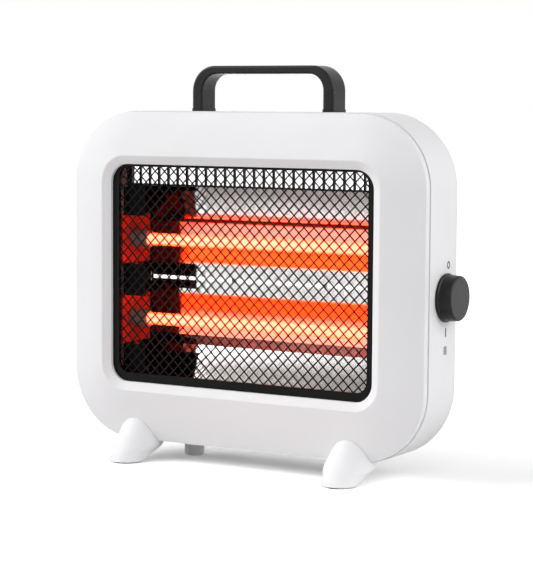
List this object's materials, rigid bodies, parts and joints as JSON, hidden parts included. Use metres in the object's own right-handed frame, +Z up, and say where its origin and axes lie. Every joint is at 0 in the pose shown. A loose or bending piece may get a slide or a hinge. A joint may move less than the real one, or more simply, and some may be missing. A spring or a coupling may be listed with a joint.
{
  "type": "quartz heater",
  "caption": "Upright portable quartz heater with a rounded white housing, glowing tubes behind a diagonal wire guard, a strap handle, flared feet and a side knob.",
  "frame": {"origin": "on the floor, in the middle of the heater's outline seen from above, knob included", "axes": "+X to the right seen from the front, +Y to the rear, +Z up"},
  "size_m": [0.3324, 0.0911, 0.316],
  "materials": {
    "white_plastic": "satin moulded",
    "black_plastic": "satin moulded",
    "black_enamel": "heat-proof black",
    "polished_aluminium": "polished",
    "quartz_glass": "clear fused quartz",
    "glowing_wire": "red hot",
    "ceramic": "unglazed steatite",
    "rubber": "moulded",
    "switch_plastic": "phenolic",
    "terminal_plastic": "moulded",
    "brass": "turned",
    "steel": "zinc plated"
  },
  "bodies": {
    "housing": {"block_screws": "steel", "bracket_rivets": "steel", "case_screws": "steel", "cord_gland": "black_plastic", "cutout_screws": "steel", "foot_pads": "rubber", "foot_screws": "steel", "frame_screws": "steel", "front_bezel": "white_plastic", "guard_screws": "steel", "handle": "black_plastic", "handle_screws": "steel", "left_end_plate": "black_enamel", "left_foot": "white_plastic", "lower_heating_coil": "glowing_wire", "lower_left_bracket": "steel", "lower_left_end_cap": "ceramic", "lower_left_terminal": "brass", "lower_quartz_tube": "quartz_glass", "lower_right_bracket": "steel", "lower_right_end_cap": "ceramic", "lower_right_terminal": "brass", "rear_feet": "rubber", "rear_shell": "white_plastic", "rear_vent_grille": "black_plastic", "reflector": "polished_aluminium", "right_end_plate": "black_enamel", "right_foot": "white_plastic", "rotary_switch": "switch_plastic", "switch_nut": "steel", "terminal_block": "terminal_plastic", "thermal_cutout": "switch_plastic", "tip_over_switch": "switch_plastic", "tip_screws": "steel", "upper_heating_coil": "glowing_wire", "upper_left_bracket": "steel", "upper_left_end_cap": "ceramic", "upper_left_terminal": "brass", "upper_quartz_tube": "quartz_glass", "upper_right_bracket": "steel", "upper_right_end_cap": "ceramic", "upper_right_terminal": "brass", "wire_guard": "black_enamel"},
    "knob": {"control_knob": "black_plastic", "switch_spindle": "steel"}
  },
  "joints": [
    {"name": "knob_turn", "type": "hinge", "parent": "housing", "child": "knob", "pos_m": [0.1538, 0.0175, 0.142], "axis": [-1, 0, 0], "range_deg": [-180, 0]}
  ]
}
